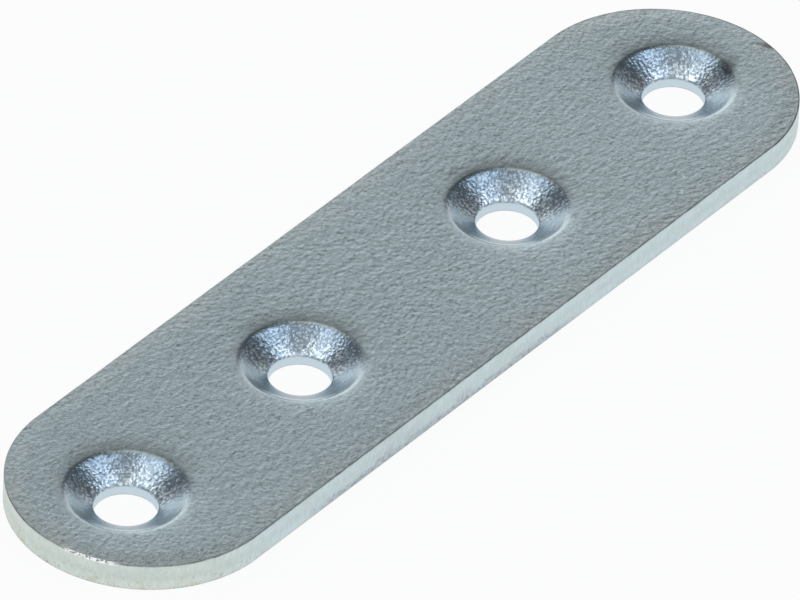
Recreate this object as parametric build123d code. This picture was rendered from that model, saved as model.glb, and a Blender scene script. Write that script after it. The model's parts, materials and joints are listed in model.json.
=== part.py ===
from build123d import *
import os

# Mending plate: a flat steel strip with half-round ends and four countersunk holes in a
# row. It is screwed across a joint between two pieces of wood and holds them together.
#
# All sizes are in millimetres. X runs along the plate, Y across it and Z up out of its
# face. The origin is the middle of the back, which lies on the wood at z = 0.

os.makedirs("parts", exist_ok=True)

# ---- driving dimensions ----
plate_length = 75.0
plate_width = 19.0
plate_thickness = 2.1

# The same pair of holes is punched at each end, so a longer plate only spreads the two
# pairs, and the joint in the wood runs between them.
end_margin = 7.75        # from each end to the hole nearest to it, before the shift
pair_pitch = 18.5        # from that hole to its inner neighbour
row_shift = -0.35        # the whole row sits a little towards the -X end

# One screw hole: a straight bore at the back and a cone-shaped seat for the head.
bore_diameter = 4.3
seat_diameter = 8.4      # of the cone where it would meet the face
seat_depth = 1.3         # from the face to where the cone would meet the bore
throat_radius = 0.3      # the soft turn from the bore to the seat
mouth_radius = 1.0       # the soft turn from the seat to the face

corner_radius = 0.15     # the blanked edge, worn by tumbling before it was plated


def hole_places():
    """X of each screw hole, from the -X end to the +X end."""
    outer = plate_length / 2 - end_margin
    inner = outer - pair_pitch
    return [row_shift + x for x in (-outer, -inner, inner, outer)]


def blank():
    """The strip as it is cut from the sheet."""
    return extrude(SlotOverall(plate_length, plate_width), plate_thickness)


def screw_hole():
    """What one hole takes away, standing on the back of the plate at x = 0."""
    bore_radius = bore_diameter / 2
    seat_radius = seat_diameter / 2
    clear = plate_thickness
    throat = (bore_radius, plate_thickness - seat_depth)
    section = make_face(
        Polyline(
            (0, -clear),
            (bore_radius, -clear),
            throat,
            (seat_radius, plate_thickness),
            (seat_radius, plate_thickness + clear),
            (0, plate_thickness + clear),
            close=True,
        )
    )
    section = fillet(section.vertices().sort_by_distance(throat)[0], throat_radius)
    return revolve(Plane.XZ * section, Axis.Z)


def mending_plate():
    """The finished plate: punched, seats pressed in, and every corner softened."""
    plate = blank()
    for x in hole_places():
        plate -= Pos(x, 0, 0) * screw_hole()
    face = plate.faces().sort_by(Axis.Z)[-1]
    mouths = [edge for wire in face.inner_wires() for edge in wire.edges()]
    plate = fillet(mouths, mouth_radius)
    rims = plate.faces().filter_by(Axis.Z)
    corners = [edge for rim in rims for edge in rim.outer_wire().edges()]
    return fillet(corners, corner_radius)


export_step(mending_plate(), "parts/plate.step")
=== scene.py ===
# %% [markdown]
# # A zinc-plated mending plate
#
# A mending plate is a flat strip of steel with four countersunk holes. It is screwed across
# a joint between two pieces of wood. This lesson dresses the bare CAD solid: one Geometry
# Nodes tree makes the plate with the relief that cutting and pressing leave in it, and one
# procedural material makes the dull zinc on its face, the bright zinc in its pressed seats
# and the pale zinc on its sheared side.

# %% Load the frame
import json
import math

import bpy
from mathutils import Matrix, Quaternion, Vector


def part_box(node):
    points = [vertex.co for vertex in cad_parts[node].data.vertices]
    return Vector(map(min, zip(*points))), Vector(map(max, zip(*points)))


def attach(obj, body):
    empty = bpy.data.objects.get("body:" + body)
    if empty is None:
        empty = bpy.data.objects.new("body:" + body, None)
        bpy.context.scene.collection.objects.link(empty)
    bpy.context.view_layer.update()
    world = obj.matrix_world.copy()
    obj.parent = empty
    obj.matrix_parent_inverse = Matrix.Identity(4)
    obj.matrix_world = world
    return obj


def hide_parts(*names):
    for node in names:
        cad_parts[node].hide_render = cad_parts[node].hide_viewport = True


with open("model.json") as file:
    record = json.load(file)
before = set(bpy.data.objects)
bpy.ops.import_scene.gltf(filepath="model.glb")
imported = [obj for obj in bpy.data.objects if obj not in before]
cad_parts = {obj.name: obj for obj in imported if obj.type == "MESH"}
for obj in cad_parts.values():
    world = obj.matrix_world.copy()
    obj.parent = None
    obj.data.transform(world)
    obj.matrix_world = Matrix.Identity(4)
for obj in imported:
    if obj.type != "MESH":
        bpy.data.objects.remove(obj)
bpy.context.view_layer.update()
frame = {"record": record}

MM = 0.001

# %% [markdown]
# ## Sizes
#
# The plate's length, width and thickness are the CAD solid's own box, and the holes stand
# where the part's mounts say. Only what the mounts don't tell is written here: the shape of
# the seat that is pressed round each hole, and the two small rounds that blanking leaves,
# the corner at the face and the heel at the back.

# %% Sizes of the plate
LOW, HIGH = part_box("plate")
PLATE = {
    "Length": HIGH.x - LOW.x,
    "Width": HIGH.y - LOW.y,
    "Thickness": HIGH.z - LOW.z,
}
HOLES = sorted(
    (m for m in frame["record"]["mounts"] if m["kind"] == "bore"),
    key=lambda m: m["pos_m"][0],
)
HOLE_X = [m["pos_m"][0] for m in HOLES]
SEAT = {
    "Bore Radius": HOLES[0]["dims"]["r_mm"] * MM,
    "Seat Radius": 4.2 * MM,
    "Seat Depth": 1.3 * MM,
    "Throat Round": 0.3 * MM,
    "Mouth Round": 1.0 * MM,
    "Corner Round": 0.05 * MM,
    "Heel Round": 0.03 * MM,
}
print("holes stand at", [round(x / MM, 2) for x in HOLE_X], "mm along the plate")

# %% [markdown]
# ## A drafting kit for node trees
#
# Node trees can be wired by hand, one node and one link at a time, which takes pages. Here a
# `Wire` stands for one value in a tree, and arithmetic on wires adds the Math nodes, so a
# shape or a pattern can be written as the formula that it is. The same kit serves Geometry
# Nodes and materials, because both share the Math, Mix and texture nodes.

# %% Wires
class Wire:
    """One value in a node tree. Arithmetic on it adds the nodes that work it out."""

    def __init__(self, graph, socket):
        self.graph = graph
        self.socket = socket

    def __add__(self, other):
        return self.graph.math("ADD", self, other)

    def __sub__(self, other):
        return self.graph.math("SUBTRACT", self, other)

    def __rsub__(self, other):
        return self.graph.math("SUBTRACT", other, self)

    def __mul__(self, other):
        return self.graph.math("MULTIPLY", self, other)

    def __truediv__(self, other):
        return self.graph.math("DIVIDE", self, other)

    def __gt__(self, other):
        return self.graph.math("GREATER_THAN", self, other)

    def __lt__(self, other):
        return self.graph.math("LESS_THAN", self, other)

    __radd__ = __add__
    __rmul__ = __mul__


print("a wire can be added, subtracted, multiplied, divided and compared")

# It adds a node to its tree, feeds the node's inputs from wires or plain numbers, and hands
# back the node's output as a wire. The steps that come up again and again, such as a noise
# or a soft step between two values, have a short name each, so that the rest of the lesson
# can speak of the plate and not of nodes.

# %% Graphs
class Graph:
    """Adds nodes to one tree and joins what they are given."""

    def __init__(self, tree):
        self.tree = tree

    def join(self, socket, value):
        """Feeds a socket from a wire, or sets its own value."""
        if isinstance(value, Wire):
            self.tree.links.new(value.socket, socket)
        elif socket.type == "VECTOR" and isinstance(value, (int, float)):
            socket.default_value = (value, value, value)
        else:
            socket.default_value = value

    def add(self, kind, inputs=None, out=None, **settings):
        """Adds a node, sets it up, feeds its inputs by name or number and returns an output."""
        node = self.tree.nodes.new(kind)
        for name, value in settings.items():
            setattr(node, name, value)
        live = {s.name: s for s in reversed(node.inputs) if s.enabled}
        for name, value in (inputs or {}).items():
            self.join(node.inputs[name] if isinstance(name, int) else live[name], value)
        found = [s for s in node.outputs if s.enabled and out in (None, s.name)]
        return Wire(self, found[0])

    def math(self, operation, *values, clamp=False):
        """A Math node, or a Vector Math node where any value is a vector."""
        sockets = [v.socket.type for v in values if isinstance(v, Wire)]
        if "VECTOR" in sockets or any(isinstance(v, tuple) for v in values):
            node = self.tree.nodes.new("ShaderNodeVectorMath")
        else:
            node = self.tree.nodes.new("ShaderNodeMath")
            node.use_clamp = clamp
        node.operation = operation
        for socket, value in zip(node.inputs, values):
            self.join(socket, value)
        return Wire(self, next(s for s in node.outputs if s.enabled))

    def vector(self, x=0.0, y=0.0, z=0.0):
        return self.add("ShaderNodeCombineXYZ", {"X": x, "Y": y, "Z": z})

    def split(self, vector):
        """The X, Y and Z of a vector."""
        node = self.tree.nodes.new("ShaderNodeSeparateXYZ")
        self.join(node.inputs[0], vector)
        return [Wire(self, s) for s in node.outputs]

    def blend(self, share, a, b, kind="FLOAT"):
        """a where share is 0 and b where it is 1, of kind FLOAT, VECTOR or RGBA."""
        return self.add("ShaderNodeMix", {"Factor": share, "A": a, "B": b}, data_type=kind)

    def ramp(self, value, start, end, low=0.0, high=1.0):
        """A smooth step from low to high as value goes from start to end."""
        limits = {"From Min": start, "From Max": end, "To Min": low, "To Max": high}
        return self.add(
            "ShaderNodeMapRange", {"Value": value, **limits}, interpolation_type="SMOOTHSTEP"
        )

    def noise(self, place, size, detail=2.0, roughness=0.5, out=None):
        """Noise from 0 to 1 whose blotches are about size across."""
        settings = {"Vector": place, "Scale": 1 / size, "Detail": detail, "Roughness": roughness}
        return self.add("ShaderNodeTexNoise", settings, out)


print("a graph knows:", ", ".join(name for name in vars(Graph) if not name.startswith("_")))

# %% [markdown]
# ## One cell for each hole
#
# The plate repeats a rule: the same hole, with metal round it as far as the next hole's
# ground or the plate's edge. So the starting mesh is only the row of hole centres, and each
# one carries the two places along the plate where its cell ends. The tree grows a cell of
# plate round every centre.

# %% The row of hole centres
def row_of_holes():
    """A mesh of one vertex for each hole, with the ends of its cell as attributes."""
    mesh = bpy.data.meshes.new("mending_plate")
    mesh.from_pydata([(x, 0.0, 0.0) for x in HOLE_X], [], [])
    between = [(a + b) / 2 for a, b in zip(HOLE_X, HOLE_X[1:])]
    ends = {"cell_low": [LOW.x] + between, "cell_high": between + [HIGH.x]}
    for name, places in ends.items():
        mesh.attributes.new(name, "FLOAT", "POINT").data.foreach_set("value", places)
    return mesh


plate = bpy.data.objects.new("mending_plate", row_of_holes())
bpy.context.scene.collection.objects.link(plate)
print("the row has", len(plate.data.vertices), "hole centres")

# %% [markdown]
# ## The points of the section
#
# A turned or pressed shape is easiest to draw as its section. This one is a closed line
# through six corners, and it needs more points before it can be swept. They lie closely on
# the seat, which curves and is looked at most, and far apart on the flat back. Each stretch
# between two corners works out how many points it still needs from where it lies.

# %% Points along the section
TINY = 1e-7
SEAT_STEP = 0.09 * MM
FACE_STEP = 0.36 * MM
SIDE_STEP = 0.14 * MM
BACK_STEP = 0.8 * MM


def section_cuts(g, size, curve):
    """How many points each stretch of the section still needs, by where it lies."""
    points = g.add("GeometryNodeAttributeDomainSize", {0: curve}, component="CURVE")
    index = g.add("GeometryNodeInputIndex")
    here = g.add("GeometryNodeInputPosition")
    there = g.add(
        "GeometryNodeFieldAtIndex",
        {"Value": here, "Index": g.math("FLOORED_MODULO", index + 1, points)},
        data_type="FLOAT_VECTOR",
    )
    x, y, _ = g.split((here + there) * 0.5)
    on_side = x > size["Width"] * 0.5 - TINY
    on_face = (y > size["Thickness"] - TINY) * (1 - on_side)
    on_back = (y < TINY) * (1 - on_side)
    step = g.blend(on_face, SEAT_STEP, FACE_STEP)
    step = g.blend(on_side, step, SIDE_STEP)
    step = g.blend(on_back, step, BACK_STEP)
    gap = g.math("LENGTH", there - here)
    return g.math("FLOOR", gap / step)


print("points stand", round(SEAT_STEP / MM, 2), "mm apart on the seat")

# %% [markdown]
# ## The section through a hole
#
# The section starts at the bottom of the bore, climbs the bore and the cone of the seat,
# crosses the face to the edge, goes down the side and comes back along the bottom. Fillet
# Curve rounds the throat, the mouth and the two outer corners, and Subdivide Curve adds the
# points. The shoulder is a plain point just inside the corner, which keeps the long stretch
# across the face clear of the corner's round.

# %% Draw the section
SHOULDER = 0.05 * MM
ROUND_POINTS = 5


def choose(g, index, values, kind):
    """The value whose number is index."""
    node = g.tree.nodes.new("GeometryNodeIndexSwitch")
    node.data_type = kind
    while len(node.index_switch_items) < len(values):
        node.index_switch_items.new()
    g.join(node.inputs[0], index)
    for socket, value in zip(list(node.inputs)[1:], values):
        g.join(socket, value)
    return Wire(g, node.outputs[0])


def section_curve(g, size):
    """The closed section in the XY plane: X is the distance from the hole, Y the height."""
    half = size["Width"] * 0.5
    top = size["Thickness"]
    shoulder = half - size["Corner Round"] - SHOULDER
    corners = [
        (size["Bore Radius"], 0.0, 0.0),
        (size["Bore Radius"], top - size["Seat Depth"], size["Throat Round"]),
        (size["Seat Radius"], top, size["Mouth Round"]),
        (shoulder, top, 0.0),
        (half, top, size["Corner Round"]),
        (half, 0.0, size["Heel Round"]),
    ]
    index = g.add("GeometryNodeInputIndex")
    places = choose(g, index, [g.vector(x, y) for x, y, _ in corners], "VECTOR")
    rounds = choose(g, index, [r for _, _, r in corners], "FLOAT")
    line = g.add("GeometryNodeMeshLine", {"Count": len(corners)})
    line = g.add("GeometryNodeSetPosition", {"Geometry": line, "Position": places})
    curve = g.add("GeometryNodeMeshToCurve", {"Mesh": line})
    curve = g.add("GeometryNodeSetSplineCyclic", {"Geometry": curve, "Cyclic": True})
    curve = g.add(
        "GeometryNodeFilletCurve",
        {"Curve": curve, "Count": ROUND_POINTS, "Radius": rounds, "Limit Radius": True},
        mode="POLY",
    )
    cuts = section_cuts(g, size, curve)
    return g.add("GeometryNodeSubdivideCurve", {"Curve": curve, "Cuts": cuts})


slope = math.atan2(SEAT["Seat Radius"] - SEAT["Bore Radius"], SEAT["Seat Depth"])
print("the cone of a seat opens at", round(2 * math.degrees(slope)), "degrees")

# %% [markdown]
# ## The outline of a cell
#
# The section is swept round the hole, and its outer end has to follow the plate's outline.
# That outline is written as a rule: walk round the cell's rectangle, then push what lies
# beyond the middle of a half-round end onto its arc. Shrinking the rectangle by an inset
# gives the outline of the face inside the rounded corner.

# %% Walk round a cell
SIDES = 4


def outline_point(g, size, walk, low, high, inset):
    """Where the outline of a cell stands at walk, from 0 to 4 round its four sides."""
    half = size["Width"] * 0.5 - inset
    reach = size["Length"] * 0.5 - inset
    arc_centre = size["Length"] * 0.5 - size["Width"] * 0.5
    low = g.math("MAXIMUM", low, reach * -1)
    high = g.math("MINIMUM", high, reach)
    side = g.math("FLOORED_MODULO", g.math("FLOOR", walk), SIDES)
    share = g.math("FRACT", walk)
    along = (high - low) * share
    across = half * (share * 2 - 1)
    x = choose(g, side, [low + along, high, high - along, low], "FLOAT")
    y = choose(g, side, [half * -1, across, half, across * -1], "FLOAT")
    beyond = x - g.math("MAXIMUM", arc_centre * -1, g.math("MINIMUM", x, arc_centre))
    on_arc = g.math("NORMALIZE", g.vector(beyond, y)) * half + g.vector(x - beyond)
    is_round = g.math("ABSOLUTE", beyond) > TINY
    return g.blend(is_round, g.vector(x, y), on_arc, "VECTOR")


ARC_CENTRE = (PLATE["Length"] - PLATE["Width"]) / 2
print("the round ends are centred", round(ARC_CENTRE / MM, 2), "mm from the plate's middle")

# %% [markdown]
# ## What a vertex knows
#
# The relief and the material both need to know where a point lies: how far from its hole,
# how far from the plate's edge, and how high. Measuring that once, while the plate is still
# an exact shape, and storing it on the vertices is simpler than working it out in each.

# %% Attributes on the mesh
def named(g, name):
    return g.add("GeometryNodeInputNamedAttribute", {"Name": name}, data_type="FLOAT")


def store(g, mesh, name, value):
    return g.add(
        "GeometryNodeStoreNamedAttribute",
        {"Geometry": mesh, "Name": name, "Value": value},
        data_type="FLOAT",
        domain="POINT",
    )


def measure(g, size, mesh):
    """Stores each vertex's distance from its hole's axis and from the outline, and its height."""
    x, y, z = g.split(g.add("GeometryNodeInputPosition"))
    from_hole = g.math("LENGTH", g.vector(x - named(g, "hole_x"), y))
    beyond = g.math("MAXIMUM", g.math("ABSOLUTE", x) - (size["Length"] - size["Width"]) * 0.5, 0.0)
    from_edge = size["Width"] * 0.5 - g.math("LENGTH", g.vector(beyond, y))
    mesh = store(g, mesh, "from_hole", from_hole)
    mesh = store(g, mesh, "from_edge", from_edge)
    return store(g, mesh, "height", z)


print("each vertex will carry from_hole, from_edge and height")

# %% [markdown]
# ## Sweep the section round each hole
#
# A Mesh Grid is a sheet of quads with two counts, one along the section and one round the
# hole. It is instanced on the hole centres and made real, and then every vertex is sent to
# its place by the section and the outline. The sheet closes into a bead round its hole, the
# beads lose the walls that they share, and Merge by Distance joins them into one plate.

# %% Cells into a plate
STEPS_PER_SIDE = 72
WELD = 2e-6


def weld(g, size, cells, low, high):
    """Takes out the walls that two cells share and joins the cells."""
    x = g.split(g.add("GeometryNodeInputPosition"))[0]
    gap = g.math("MINIMUM", g.math("ABSOLUTE", x - low), g.math("ABSOLUTE", x - high))
    inside = g.math("ABSOLUTE", x) < (size["Length"] - size["Width"]) * 0.5
    cells = g.add(
        "GeometryNodeDeleteGeometry",
        {"Geometry": cells, "Selection": (gap < TINY) * inside},
        domain="FACE",
    )
    return g.add("GeometryNodeMergeByDistance", {"Geometry": cells, "Distance": WELD})


def sweep(g, size, centres):
    """One closed bead of plate round each hole centre, joined into one mesh."""
    curve = section_curve(g, size)
    rings = g.add("GeometryNodeAttributeDomainSize", {0: curve}, component="CURVE")
    columns = SIDES * STEPS_PER_SIDE + 1
    grid = g.add("GeometryNodeMeshGrid", {"Vertices X": rings + 1, "Vertices Y": columns})
    number = g.add("GeometryNodeInputIndex")
    grid = store(g, grid, "ring", g.math("FLOOR", number / columns))
    grid = store(g, grid, "walk", g.math("FLOORED_MODULO", number, columns) / STEPS_PER_SIDE)
    hole = g.split(g.add("GeometryNodeInputPosition"))[0]
    centres = store(g, centres, "hole_x", hole)
    cells = g.add("GeometryNodeInstanceOnPoints", {"Points": centres, "Instance": grid})
    cells = g.add("GeometryNodeRealizeInstances", {"Geometry": cells})

    drawn = g.add(
        "GeometryNodeSampleIndex",
        {
            "Geometry": curve,
            "Value": g.add("GeometryNodeInputPosition"),
            "Index": g.math("FLOORED_MODULO", named(g, "ring"), rings),
        },
        data_type="FLOAT_VECTOR",
    )
    out, up, _ = g.split(drawn)
    half = size["Width"] * 0.5
    turn = g.math("ARCTAN2", size["Seat Depth"], size["Seat Radius"] - size["Bore Radius"])
    mouth = size["Seat Radius"] + size["Mouth Round"] * g.math("TANGENT", turn * 0.5)
    face_end = half - size["Corner Round"]
    share = g.math("DIVIDE", out - mouth, face_end - mouth, clamp=True)
    inset = half - g.math("MAXIMUM", out, face_end)
    low, high = named(g, "cell_low"), named(g, "cell_high")
    edge = outline_point(g, size, named(g, "walk"), low, high, inset)
    centre = g.vector(named(g, "hole_x"))
    towards_edge = g.math("NORMALIZE", edge - centre)
    near = centre + towards_edge * g.math("MINIMUM", out, mouth)
    place = g.blend(share, near, edge, "VECTOR") + g.vector(0.0, 0.0, up)
    cells = g.add("GeometryNodeSetPosition", {"Geometry": cells, "Position": place})
    return weld(g, size, measure(g, size, cells), low, high)


print("a cell is its section repeated", SIDES * STEPS_PER_SIDE, "times round the hole")

# %% [markdown]
# ## What the press leaves behind
#
# A blanked and pressed plate isn't as crisp as its drawing. The punch pulls the face down
# round each seat and all along the edge, most of all round the two ends. The cut side is
# smooth at first and then tears, so its lowest quarter is ragged. All of this goes into the
# metal and never out of it, so the plate stays inside its true size.

# %% Relief
PRESS = {
    "Dish Depth": 0.12 * MM,
    "Dish Reach": 1.1 * MM,
    "Rollover Depth": 0.06 * MM,
    "Rollover Width": 1.3 * MM,
    "Edge Wobble": 0.035 * MM,
    "Tear Height": 0.5 * MM,
    "Tear Depth": 0.03 * MM,
    "Seat Dents": 0.010 * MM,
    "Waviness": 0.02 * MM,
}
INTO_SEAT = (0.54, 0.84)  # outwards and down, straight into the cone


def pulled_down(g, size, place):
    """How far the face is pulled down, by the seats, along the edge and in slow waves."""
    x = g.split(place)[0]
    from_hole, from_edge = named(g, "from_hole"), named(g, "from_edge")
    rim = size["Seat Radius"] - 0.15 * MM
    dish = g.math("EXPONENT", g.math("MAXIMUM", from_hole - rim, 0.0) / size["Dish Reach"] * -1)
    slow = g.noise(place, 7 * MM, 1.0)
    arc_centre = (size["Length"] - size["Width"]) * 0.5
    at_end = g.ramp(g.math("ABSOLUTE", x), arc_centre - 1 * MM, arc_centre + 5 * MM, 0.4, 1.0)
    roll = g.ramp(from_edge, size["Rollover Width"], 0.0) * (slow * 0.6 + 0.7) * at_end
    wavy = g.noise(place, 3.5 * MM, 1.0)
    return dish * size["Dish Depth"] + roll * size["Rollover Depth"] + wavy * size["Waviness"]


def cut_in(g, size, place, upper):
    """How far the side stands in: a little uneven above, and torn along its foot."""
    x, y, _ = g.split(place)
    height = named(g, "height")
    at_side = g.ramp(named(g, "from_edge"), size["Corner Round"] * 1.5, 0.0)
    wobble = g.noise(place, 0.9 * MM, 3.0, 0.6) * size["Edge Wobble"]
    tear_line = size["Tear Height"] * (g.noise(g.vector(x, y), 2.2 * MM, 3.0, 0.6) * 2.4 - 0.35)
    torn = g.ramp(height - tear_line, 0.08 * MM, -0.04 * MM) * g.ramp(height, 0.0, 0.16 * MM)
    ragged = g.noise(place, 0.35 * MM, 2.0, 0.6) * 0.8 + 0.5
    return at_side * (wobble * upper + torn * ragged * size["Tear Depth"])


def relief(g, size, mesh):
    """Moves the vertices into the metal, by where they lie."""
    place = g.add("GeometryNodeInputPosition")
    x, y, _ = g.split(place)
    from_hole, height = named(g, "from_hole"), named(g, "height")
    throat = size["Thickness"] - size["Seat Depth"]
    upper = g.ramp(height, throat, size["Thickness"] - 0.1 * MM)
    arc_centre = (size["Length"] - size["Width"]) * 0.5
    beyond = x - g.math("MAXIMUM", arc_centre * -1, g.math("MINIMUM", x, arc_centre))
    outwards = g.math("NORMALIZE", g.vector(beyond, y))
    hole_out = g.math("NORMALIZE", g.vector(x - named(g, "hole_x"), y))
    in_seat = g.ramp(from_hole, size["Seat Radius"], size["Seat Radius"] - 0.4 * MM)
    in_seat = in_seat * g.ramp(height, throat - 0.1 * MM, throat + 0.15 * MM)
    dents = g.noise(place, 0.30 * MM, 1.0) * in_seat * size["Seat Dents"]
    shift = outwards * (cut_in(g, size, place, upper) * -1)
    shift = shift + hole_out * (dents * INTO_SEAT[0]) - g.vector(z=dents * INTO_SEAT[1])
    shift = shift - g.vector(z=pulled_down(g, size, place) * upper)
    return g.add("GeometryNodeSetPosition", {"Geometry": mesh, "Offset": shift})


print("the face dips", round(PRESS["Dish Depth"] / MM, 2), "mm at the mouth of a seat")

# %% [markdown]
# ## Run the tree
#
# The sizes are the tree's named inputs, so another plate needs only other numbers. A modifier
# keeps an input under its socket's identifier, and not under its name. Once the tree has run,
# its result becomes the object's own mesh and the modifier goes, so that the object holds only
# plain faces.

# %% Build the tree
def plate_tree(sizes):
    """The whole tree, with every size as a named input, and its inputs by name."""
    tree = bpy.data.node_groups.new("mending_plate", "GeometryNodeTree")
    g = Graph(tree)
    tree.interface.new_socket("Geometry", in_out="INPUT", socket_type="NodeSocketGeometry")
    inputs = {
        name: tree.interface.new_socket(name, in_out="INPUT", socket_type="NodeSocketFloat")
        for name in sizes
    }
    tree.interface.new_socket("Geometry", in_out="OUTPUT", socket_type="NodeSocketGeometry")
    entry = tree.nodes.new("NodeGroupInput")
    size = {name: Wire(g, entry.outputs[name]) for name in sizes}
    mesh = sweep(g, size, Wire(g, entry.outputs["Geometry"]))
    mesh = relief(g, size, mesh)
    mesh = g.add("GeometryNodeSetShadeSmooth", {"Geometry": mesh})
    mesh = g.add("GeometryNodeRealizeInstances", {"Geometry": mesh})
    mesh = g.add("GeometryNodeSetMaterial", {"Geometry": mesh, "Material": None})
    g.join(tree.nodes.new("NodeGroupOutput").inputs[0], mesh)
    return tree, {name: socket.identifier for name, socket in inputs.items()}


def run_tree(obj, sizes):
    """Runs the tree on the object and leaves its result as the object's own mesh."""
    tree, identifiers = plate_tree(sizes)
    modifier = obj.modifiers.new("mending_plate", "NODES")
    modifier.node_group = tree
    for name, value in sizes.items():
        modifier[identifiers[name]] = value
    seen = obj.evaluated_get(bpy.context.evaluated_depsgraph_get())
    mesh = bpy.data.meshes.new_from_object(seen)
    obj.modifiers.remove(modifier)
    obj.data = mesh


run_tree(plate, {**PLATE, **SEAT, **PRESS})
print("the plate has", len(plate.data.polygons), "faces")

# %% [markdown]
# ## Zinc, three ways
#
# One coat of zinc covers the whole plate, but it doesn't look the same all over. The rolled
# face has a fine orange peel and is a dull blue-grey. The pressed seats are bright, smooth on
# one side and crumpled like foil on the other, as if the punch had leaned. The sheared side
# is pale. Each zone gets a mask, made from the distances that the mesh carries.

# %% Zones of the zinc
LEAN = (0.80, 0.60)


def attribute(g, name):
    return g.add("ShaderNodeAttribute", out="Fac", attribute_name=name)


def crumpled(g, place):
    """Small bent facets, like foil that was pressed together and opened again."""
    bent = place + g.noise(place, 0.6 * MM, 3.0, 0.6, out="Color") * (0.5 * MM)
    scale = 1 / (0.23 * MM)
    facets = g.add("ShaderNodeTexVoronoi", {"Vector": bent, "Scale": scale}, "Distance")
    return facets * 0.6 + g.noise(place, 0.21 * MM, 2.0, 0.5)


class Zones:
    """Where a point of the plate lies, and how far it belongs to each kind of surface."""

    def __init__(self, g):
        self.place = g.add("ShaderNodeTexCoord", out="Object")
        self.x, self.y, _ = g.split(self.place)
        self.from_hole = attribute(g, "from_hole")
        self.from_edge = attribute(g, "from_edge")
        self.height = attribute(g, "height")
        self.upper = g.ramp(self.height, 1.0 * MM, 1.8 * MM)
        throat = PLATE["Thickness"] - SEAT["Seat Depth"]
        bore = SEAT["Bore Radius"]
        rim = SEAT["Seat Radius"]
        self.seat = g.ramp(self.from_hole, rim + 0.25 * MM, rim - 0.15 * MM)
        self.seat = self.seat * g.ramp(self.height, throat - 0.18 * MM, throat - 0.08 * MM)
        self.bore = g.ramp(self.from_hole, bore + 0.15 * MM, bore + 0.01 * MM)
        self.bore = self.bore * g.ramp(self.height, throat - 0.05 * MM, throat - 0.2 * MM)
        self.side = g.ramp(self.from_edge, 0.04 * MM, 0.015 * MM)
        self.face = g.ramp(self.from_hole, rim + 0.1 * MM, rim + 1.0 * MM)
        self.face = self.face * g.ramp(self.from_edge, 0.05 * MM, 0.25 * MM)
        across = (self.x - attribute(g, "hole_x")) * LEAN[0] + self.y * LEAN[1]
        self.lean = across / self.from_hole
        self.leaned = g.ramp(self.lean, -0.35, 0.25)
        self.crumple = crumpled(g, self.place)


print("each seat is crumpled most towards", LEAN)

# %% [markdown]
# ## The fine relief
#
# Bumps below a tenth of a millimetre are too small for the mesh, so the material has them.
# The rolled face has an orange peel, a little longer along the plate. The seats have small
# facets, which are sharp on their crumpled side and almost gone on the other. The cut side
# and the bores are combed from top to bottom, as a die and a punch leave them.

# %% Fine relief
PEEL_HEIGHT = 0.052 * MM
CRUMPLE_HEIGHT = 0.031 * MM
COMB_HEIGHT = 0.026 * MM


def fine_relief(g, zone):
    rolled = zone.place * (0.95, 1.05, 1.0)
    peel = g.noise(rolled, 0.32 * MM, 2.0, 0.5) + g.noise(rolled, 0.65 * MM, 1.0) * 0.6
    peel = (peel - 0.8) * (zone.face * 0.8 + 0.2)
    crumple = (zone.crumple - 0.7) * zone.seat * (zone.leaned * 0.88 + 0.12)
    combed = g.noise(zone.place * (1.0, 1.0, 0.12), 0.16 * MM, 2.0, 0.6)
    combed = (combed - 0.5) * g.math("MAXIMUM", zone.side, zone.bore)
    height = peel * PEEL_HEIGHT + crumple * CRUMPLE_HEIGHT + combed * COMB_HEIGHT
    return g.add("ShaderNodeBump", {"Height": height, "Strength": 1.0, "Distance": 1.0})


print("a full swing of the peel's noise is", round(PEEL_HEIGHT / MM, 3), "mm high")

# %% [markdown]
# ## The face
#
# No zone is one flat colour. The face is clouded at random and carries a painted light gradient,
# lighter towards its right end, and it is warmer close to its edge. Fine dark grains are
# scattered over it. Painted shade darkens it in a soft crescent beyond the crumpled side of each
# seat. Noise makes what has no plan, and ramps on the distances make what has one.

# %% The colour of the face
def rgb(red, green, blue):
    return (red, green, blue, 1.0)


FACE_ZINC = {
    # shade and light are the ends of random clouding and of a painted light gradient along the
    # plate
    "shade": rgb(0.29, 0.352, 0.378),
    "light": rgb(0.35, 0.415, 0.437),
    "warm": rgb(0.385, 0.385, 0.365),
    "grain": rgb(0.10, 0.12, 0.13),
    # painted shade beyond the crumpled side of each seat
    "crescent": rgb(0.16, 0.18, 0.185),
}


def face_colour(g, zone):
    # Half random clouding, half a painted light gradient that is lighter towards the right end.
    cloud_and_light_gradient = g.noise(zone.place, 6.0 * MM, 3.0) * 0.5 + g.ramp(zone.x, -40 * MM, 40 * MM) * 0.5
    colour = g.blend(cloud_and_light_gradient, FACE_ZINC["shade"], FACE_ZINC["light"], "RGBA")
    warm = g.ramp(g.noise(zone.place, 5.0 * MM, 3.0, 0.6), 0.42, 0.68) * 0.35
    warm = warm * g.ramp(zone.from_edge, 2.4 * MM, 0.1 * MM)
    warm = warm + g.ramp(zone.from_edge, 1.6 * MM, 0.4 * MM) * 0.15
    colour = g.blend(warm, colour, FACE_ZINC["warm"], "RGBA")
    grain = g.noise(zone.place, 0.27 * MM, 2.0, 0.6)
    dark = g.ramp(grain, 0.42, 0.30) * 0.36 + g.ramp(grain, 0.70, 0.38) * 0.22
    colour = g.blend(dark, colour, FACE_ZINC["grain"], "RGBA")
    # Painted shade in a soft crescent beyond the crumpled side of each seat.
    crescent = g.ramp(zone.lean, 0.35, 0.75) * g.ramp(zone.from_hole, 6.0 * MM, 4.8 * MM)
    return g.blend(crescent * zone.upper * 0.4, colour, FACE_ZINC["crescent"], "RGBA")


print("zincs of the face:", ", ".join(FACE_ZINC))
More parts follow.
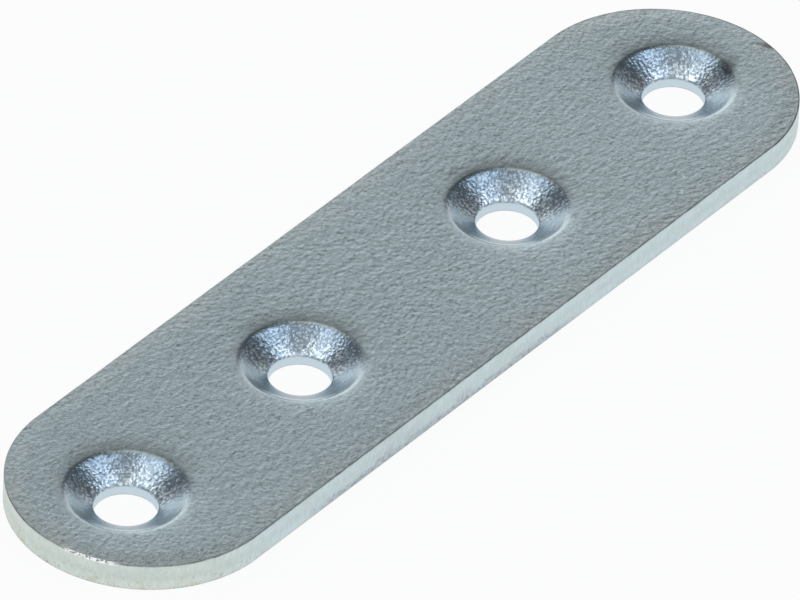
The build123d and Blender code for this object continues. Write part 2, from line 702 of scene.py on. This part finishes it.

# %% [markdown]
# ## The seats
#
# A seat is the brightest zinc on the plate, brightest at its throat. Its crumpled side is a
# scatter of pale facets and dark ones, with painted shade in the corner under the face. Its
# smooth side is one even sheet with a painted highlight along its rim.

# %% The colour of the seats
SEAT_ZINC = {
    "throat": rgb(0.86, 0.94, 1.0),
    "mouth": rgb(0.43, 0.52, 0.60),
    "facet": rgb(0.22, 0.28, 0.33),
    # painted shade in the corner under the face
    "corner": rgb(0.10, 0.12, 0.13),
    "smooth": rgb(0.38, 0.45, 0.49),
    "flank": rgb(0.49, 0.63, 0.72),
    # painted highlight along the rim of the smooth side
    "rim": rgb(0.66, 0.75, 0.79),
}


def seat_colour(g, zone):
    out = g.ramp(zone.from_hole, 2.2 * MM, 4.1 * MM)
    pale = g.blend(out, SEAT_ZINC["throat"], SEAT_ZINC["mouth"], "RGBA")
    tone = g.ramp(zone.crumple + g.noise(zone.place, 0.9 * MM, 2.0) * 0.5, 0.75, 1.25)
    colour = g.blend(tone * 0.8, pale, SEAT_ZINC["facet"], "RGBA")
    # Painted shade in the corner under the face, on the crumpled side.
    corner = g.ramp(zone.lean, 0.10, 0.38) * g.ramp(zone.lean, 0.78, 0.50)
    corner = corner * g.ramp(zone.from_hole, 3.3 * MM, 4.1 * MM) * g.ramp(tone, 0.0, 0.8, 0.6, 1.0)
    colour = g.blend(corner * 0.18, colour, SEAT_ZINC["corner"], "RGBA")
    # A painted highlight along the rim of the smooth side.
    rim = g.ramp(zone.from_hole, 3.5 * MM, 4.15 * MM)
    flank = g.ramp(zone.lean, -0.95, -0.45)
    smooth = g.blend(flank, SEAT_ZINC["smooth"], SEAT_ZINC["flank"], "RGBA")
    smooth = g.blend(rim, smooth, SEAT_ZINC["rim"], "RGBA")
    return g.blend(zone.leaned, smooth, colour, "RGBA")


print("zincs of a seat:", ", ".join(SEAT_ZINC))

# %% [markdown]
# ## The cut side
#
# The side is pale, with faint upright streaks, greenish clouds and a duller band along its
# middle. Its foot is grey and speckled along the middle of the plate, where the metal tore.
# The left end is warmer, with olive stains and dark flecks low down. A thin dark line runs
# all round at the heel.

# %% The colour of the side
SIDE_ZINC = {
    "long sides": rgb(0.61, 0.72, 0.745),
    "left end": rgb(0.67, 0.735, 0.69),
    "streaks": rgb(0.38, 0.46, 0.48),
    "green clouds": rgb(0.51, 0.61, 0.58),
    "middle band": rgb(0.40, 0.46, 0.46),
    "worn foot": rgb(0.37, 0.43, 0.47),
    "spots": rgb(0.22, 0.23, 0.20),
    "olive stains": rgb(0.60, 0.60, 0.42),
    "flecks": rgb(0.30, 0.28, 0.22),
    "heel": rgb(0.27, 0.25, 0.24),
}


def side_colour(g, zone):
    end = g.ramp(zone.x, -26 * MM, -34 * MM)
    colour = g.blend(end, SIDE_ZINC["long sides"], SIDE_ZINC["left end"], "RGBA")
    streaks = g.noise(zone.place * (1.0, 1.0, 0.25), 0.22 * MM, 3.0, 0.6)
    streaks = g.ramp(streaks, 0.62, 0.38) * 0.2
    colour = g.blend(streaks, colour, SIDE_ZINC["streaks"], "RGBA")
    mottle = g.noise(zone.place, 1.1 * MM, 4.0, 0.65)
    green = g.ramp(mottle, 0.48, 0.64) * 0.5
    colour = g.blend(green, colour, SIDE_ZINC["green clouds"], "RGBA")
    middle = g.ramp(g.math("ABSOLUTE", zone.height - 1.0 * MM), 0.6 * MM, 0.0)
    middle = middle * g.ramp(mottle, 0.65, 0.35) * 0.3
    colour = g.blend(middle, colour, SIDE_ZINC["middle band"], "RGBA")
    specks = g.noise(zone.place, 0.38 * MM, 3.0, 0.65)
    worn = g.ramp(g.math("ABSOLUTE", zone.x + 8 * MM), 16 * MM, 11 * MM)
    low = g.ramp(zone.height + mottle * (1.7 * MM), 1.70 * MM, 1.05 * MM)
    grey = low * worn * g.ramp(specks, 0.35, 0.60, 0.4, 0.95)
    colour = g.blend(grey, colour, SIDE_ZINC["worn foot"], "RGBA")
    spots = low * (worn * 0.5 + 0.5) * g.ramp(specks, 0.56, 0.64)
    colour = g.blend(spots * 0.45, colour, SIDE_ZINC["spots"], "RGBA")
    stained = end * g.ramp(zone.height, 1.3 * MM, 0.5 * MM)
    olive = stained * g.ramp(mottle, 0.50, 0.62)
    colour = g.blend(olive * 0.45, colour, SIDE_ZINC["olive stains"], "RGBA")
    flecks = stained * g.ramp(specks, 0.58, 0.66)
    colour = g.blend(flecks * 0.45, colour, SIDE_ZINC["flecks"], "RGBA")
    heel = g.ramp(zone.height + specks * (0.30 * MM), 0.26 * MM, 0.13 * MM)
    return g.blend(heel * 0.55, colour, SIDE_ZINC["heel"], "RGBA")


print("zincs of the side:", ", ".join(SIDE_ZINC))

# %% [markdown]
# ## Edges and marks
#
# The arris is the sharp corner all round the face. It shows as a thin dark brownish line, and
# at the left end it carries painted glints, near-white highlights. A ring of painted shade stands
# round the crumpled side of each seat. The marks of this plate alone are placed one by one: one
# scuff on the right end, one patch of painted shade beside the last seat and two pale specks on
# the near edge.

# %% Edges and marks
EDGE_ZINC = {
    "arris": rgb(0.11, 0.10, 0.09),
    # painted glints: near-white highlights on the edge at the left end
    "rubbed": rgb(0.98, 0.98, 0.96),
    # painted shade: the dark ring round the crumpled side of each seat's mouth
    "ring": rgb(0.10, 0.09, 0.075),
}
SCUFF = rgb(0.10, 0.085, 0.08)
# painted shade beside the last seat, placed as a mark
PAINTED_SHADE_PATCH = rgb(0.07, 0.08, 0.085)
SPECK = rgb(0.60, 0.65, 0.60)
MARKS = [
    {"at": (37.1, -2.4), "size": (1.3, 0.45), "turn": -62, "tint": SCUFF, "share": 0.85},
    # painted shade beside the last seat
    {"at": (33.2, -1.6), "size": (1.5, 0.9), "turn": 20, "tint": PAINTED_SHADE_PATCH, "share": 0.7},
    {"at": (21.4, -7.0), "size": (0.45, 0.16), "turn": 50, "tint": SPECK, "share": 0.45},
    {"at": (20.0, -7.9), "size": (0.55, 0.14), "turn": 35, "tint": SPECK, "share": 0.45},
]


def spot_at(g, zone, at, size, turn):
    """A ragged oval on the face, 1 in its middle and 0 outside it, in mm and degrees."""
    turn = math.radians(turn)
    right, up = zone.x - at[0] * MM, zone.y - at[1] * MM
    along = (right * math.cos(turn) + up * math.sin(turn)) / (size[0] * MM)
    across = (up * math.cos(turn) - right * math.sin(turn)) / (size[1] * MM)
    away = g.math("LENGTH", g.vector(along, across)) + g.noise(zone.place, 0.35 * MM, 3.0) * 0.8
    return g.ramp(away, 1.4, 0.7) * g.ramp(zone.height, 1.8 * MM, 2.0 * MM)


def edges_and_marks(g, zone, colour):
    uneven = g.noise(zone.place, 0.7 * MM, 3.0, 0.6)
    drop = g.math("SUBTRACT", PLATE["Thickness"], zone.height)
    right = g.ramp(zone.x, 22 * MM, 34 * MM)
    lip = g.math("MAXIMUM", zone.from_edge * (1.6 - right * 0.85), drop * 0.8)
    arris = g.ramp(lip - uneven * (0.06 * MM), 0.09 * MM, 0.02 * MM)
    arris = arris * (uneven * 0.8 + right * 0.2 + 0.25)
    colour = g.blend(arris, colour, EDGE_ZINC["arris"], "RGBA")
    # Painted glints: near-white highlights along the edge at the left end.
    rubbed = g.ramp(zone.x, -36.2 * MM, -36.7 * MM) * g.ramp(zone.y, -0.1 * MM, -1.0 * MM)
    rubbed = rubbed * g.ramp(g.noise(zone.place, 0.36 * MM, 3.0, 0.6), 0.47, 0.53)
    shine = g.ramp(lip, 0.22 * MM, 0.15 * MM) * rubbed
    colour = g.blend(shine, colour, EDGE_ZINC["rubbed"], "RGBA")
    # Painted shade: a dark ring just outside the mouth on the crumpled side of each seat.
    ring = g.ramp(zone.from_hole, 4.25 * MM, 4.4 * MM) * g.ramp(zone.from_hole, 4.8 * MM, 4.5 * MM)
    ring = ring * zone.upper * zone.leaned * g.ramp(uneven, 0.4, 0.65)
    colour = g.blend(ring * 0.35, colour, EDGE_ZINC["ring"], "RGBA")
    for mark in MARKS:
        spot = spot_at(g, zone, mark["at"], mark["size"], mark["turn"])
        colour = g.blend(spot * mark["share"], colour, mark["tint"], "RGBA")
    return colour


print("marks placed one by one:", len(MARKS))

# %% [markdown]
# ## One material for the whole plate
#
# The zones choose between the zincs, and the roughness follows them too: the burnished seats
# are the sharpest mirror, and the cut side is the dullest. Then the finished piece gets this
# material and rides on the root body, and the bare CAD plate is hidden.

# %% The zinc material
SEAT_ROUGHNESS = 0.24
FACE_ROUGHNESS = 0.31
CUT_ROUGHNESS = 0.38
BORE_COLOUR = rgb(0.60, 0.71, 0.78)


def zinc_plating():
    material = bpy.data.materials.new("zinc_plating")
    material.use_nodes = True
    material.node_tree.nodes.clear()
    g = Graph(material.node_tree)
    zone = Zones(g)
    colour = g.blend(zone.seat, face_colour(g, zone), seat_colour(g, zone), "RGBA")
    colour = g.blend(zone.bore, colour, BORE_COLOUR, "RGBA")
    colour = g.blend(zone.side, colour, side_colour(g, zone), "RGBA")
    colour = edges_and_marks(g, zone, colour)
    rough = g.ramp(zone.from_hole, 4.2 * MM, 5.4 * MM, SEAT_ROUGHNESS, FACE_ROUGHNESS)
    rough = g.blend(g.math("MAXIMUM", zone.side, zone.bore), rough, CUT_ROUGHNESS)
    finish = {"Base Color": colour, "Metallic": 1.0, "Roughness": rough}
    shader = g.add("ShaderNodeBsdfPrincipled", {**finish, "Normal": fine_relief(g, zone)})
    g.join(g.tree.nodes.new("ShaderNodeOutputMaterial").inputs[0], shader)
    return material


plate.data.materials.clear()
plate.data.materials.append(zinc_plating())
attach(plate, "root")
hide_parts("plate")
print("the zinc takes", len(plate.data.materials[0].node_tree.nodes), "nodes")

# %% [markdown]
# ## A white table
#
# The plate lies on a white table. The table's material sends white light to the camera and
# to reflections, and is matt for everything else. A small share of the matt white stays in
# what the camera sees, so the table keeps a faint shadow of the plate.

# %% The table
TABLE_SIZE = 12.0
TABLE_GAP = 0.02 * MM
WHITE_SHARE = 0.92
MATT_WHITE = rgb(0.86, 0.86, 0.86)
PURE_WHITE = rgb(1.0, 1.0, 1.0)


def white_table():
    material = bpy.data.materials.new("white_table")
    material.use_nodes = True
    material.node_tree.nodes.clear()
    g = Graph(material.node_tree)
    path = g.tree.nodes.new("ShaderNodeLightPath")
    rays = ("Is Camera Ray", "Is Glossy Ray", "Is Transmission Ray")
    seen = [Wire(g, path.outputs[ray]) for ray in rays]
    direct = g.math("MINIMUM", seen[0] + seen[1] + seen[2], 1.0) * WHITE_SHARE
    matt = g.add("ShaderNodeBsdfDiffuse", {"Color": MATT_WHITE})
    glow = g.add("ShaderNodeEmission", {"Color": PURE_WHITE, "Strength": 1.0})
    both = g.add("ShaderNodeMixShader", {0: direct, 1: matt, 2: glow})
    g.join(g.tree.nodes.new("ShaderNodeOutputMaterial").inputs[0], both)
    return material


bpy.ops.mesh.primitive_plane_add(size=TABLE_SIZE, location=(0.0, 0.0, -TABLE_GAP))
table = bpy.context.object
table.name = "table"
table.data.materials.append(white_table())
print("the table is", TABLE_SIZE, "m across, just below the plate")

# %% [markdown]
# ## The camera
#
# A small part is shown best through a long lens from far off, because its near and far ends
# then keep nearly the same scale. This one stands about a metre away, looks down at 38
# degrees from the left of the front, and is rolled by 3 degrees. The lens is so long that the
# plate still fills the picture.

# %% Camera
AZIMUTH = math.radians(-53.31)
ELEVATION = math.radians(38.15)
ROLL = math.radians(2.945)
DISTANCE = 1.0835
BACK = Vector(
    (
        math.sin(AZIMUTH) * math.cos(ELEVATION),
        -math.cos(AZIMUTH) * math.cos(ELEVATION),
        math.sin(ELEVATION),
    )
)
AIM = Vector((-0.160, 0.497, 0.214)) * MM
camera = bpy.data.objects.new("camera", bpy.data.cameras.new("camera"))
camera.data.lens = 720.85
camera.data.sensor_width = 36.0
camera.data.clip_start = 0.01
camera.data.clip_end = 50.0
camera.location = AIM + BACK * DISTANCE
aimed = (-BACK).to_track_quat("-Z", "Y") @ Quaternion((0.0, 0.0, 1.0), ROLL)
camera.rotation_euler = aimed.to_euler()
bpy.context.scene.collection.objects.link(camera)
bpy.context.scene.camera = camera
print("the camera sees", round(math.degrees(camera.data.angle), 2), "degrees across")

# %% [markdown]
# ## The walls of the room
#
# Metal shows the room round it, so the room is what makes zinc look like zinc. A picture of
# a real room could do this, but a few soft glows on dark walls say more plainly what each
# one is for. The two straight ahead light the flat face, which mirrors the wall beyond it.
# The ones to the sides do the same for other views, and a broad one behind the camera lights
# the cut side. The dark between them gives the seats their deep tones.

# %% The room
AWAY = Vector((-BACK.x, -BACK.y, 0.0)).normalized()
RIGHT = Vector((AWAY.y, -AWAY.x, 0.0))
UP = Vector((0.0, 0.0, 1.0))
SMALL = {"full": 0, "none": 25}
BROAD = {"full": 30, "none": 80}
GLOWS = [
    {"turn": 180, "climb": 22, "level": 0.72, "spread": BROAD},
    {"turn": 0, "climb": 6, "level": 0.65, "spread": SMALL},
    {"turn": 0, "climb": 31, "level": 0.92, "spread": SMALL},
    {"turn": -21, "climb": 21, "level": 0.75, "spread": SMALL},
    {"turn": 30, "climb": 6, "level": 0.50, "spread": SMALL},
    {"turn": -50, "climb": 8, "level": 0.75, "spread": SMALL},
    {"turn": 50, "climb": 8, "level": 0.40, "spread": SMALL},
    {"turn": -88, "climb": 14, "level": 0.55, "spread": SMALL},
    {"turn": 88, "climb": 14, "level": 0.55, "spread": SMALL},
]
DARK_WALL = 0.14
WALL_TINT = (0.97, 0.99, 1.0)


def towards(turn, climb):
    """The way that is turn degrees right of straight ahead and climb degrees up."""
    turn, climb = math.radians(turn), math.radians(climb)
    ahead = AWAY * math.cos(turn) + RIGHT * math.sin(turn)
    return ahead * math.cos(climb) + UP * math.sin(climb)


def glow(g, way, centre, full, none):
    """A round glow on the walls of the room, from full to none in degrees off centre."""
    cosine = g.math("DOT_PRODUCT", way, tuple(centre))
    return g.ramp(cosine, math.cos(math.radians(none)), math.cos(math.radians(full)))


def room():
    world = bpy.data.worlds.new("room")
    world.use_nodes = True
    world.node_tree.nodes.clear()
    g = Graph(world.node_tree)
    way = g.math("NORMALIZE", g.add("ShaderNodeTexCoord", out="Generated"))
    light = DARK_WALL
    for spot in GLOWS:
        centre = towards(spot["turn"], spot["climb"])
        light = light + glow(g, way, centre, **spot["spread"]) * spot["level"]
    tint = g.tree.nodes.new("ShaderNodeVectorMath")
    tint.operation = "SCALE"
    tint.inputs[0].default_value = WALL_TINT
    g.join(tint.inputs["Scale"], light)
    back = g.add("ShaderNodeBackground", {"Color": Wire(g, tint.outputs[0]), "Strength": 1.0})
    g.join(g.tree.nodes.new("ShaderNodeOutputWorld").inputs[0], back)
    return world


bpy.context.scene.world = room()
print("the room has", len(GLOWS), "glows on its walls")

# %% [markdown]
# ## Softboxes
#
# The glows alone would leave the seats flat. A seat is a cone, so each part of it mirrors
# another part of the room. Three softboxes give it something bright to mirror: two bluish
# ones at the sides light its flanks, and a warmer one overhead catches its crumpled facets.

# %% Softboxes
LAMP_DISTANCE = 0.8


def softbox(name, way, size, radiance, colour):
    """A square lamp that faces the plate. Its brightness is given as it looks in a mirror."""
    light = bpy.data.lights.new(name, "AREA")
    light.shape = "SQUARE"
    light.size = size
    light.energy = radiance * math.pi * size * size
    light.color = colour
    lamp = bpy.data.objects.new(name, light)
    lamp.location = way * LAMP_DISTANCE
    lamp.rotation_euler = way.to_track_quat("Z", "Y").to_euler()
    bpy.context.scene.collection.objects.link(lamp)
    print(name, "shines with", round(light.energy, 2), "watts")


softbox("softbox_left", towards(-97, 60), 0.44, 1.65, (0.84, 0.92, 1.0))
softbox("softbox_right", towards(97, 60), 0.44, 1.65, (0.72, 0.85, 1.0))
softbox("softbox_top", towards(-22, 69), 0.36, 1.35, (1.0, 1.0, 0.92))

# %% [markdown]
# ## Finish
#
# The Standard view shows the colours as they are written. Filmic views bend them, and a
# white table would turn grey. All the relief goes into the metal, so the plate stays inside
# the CAD model's box.

bpy.context.scene.view_settings.view_transform = "Standard"
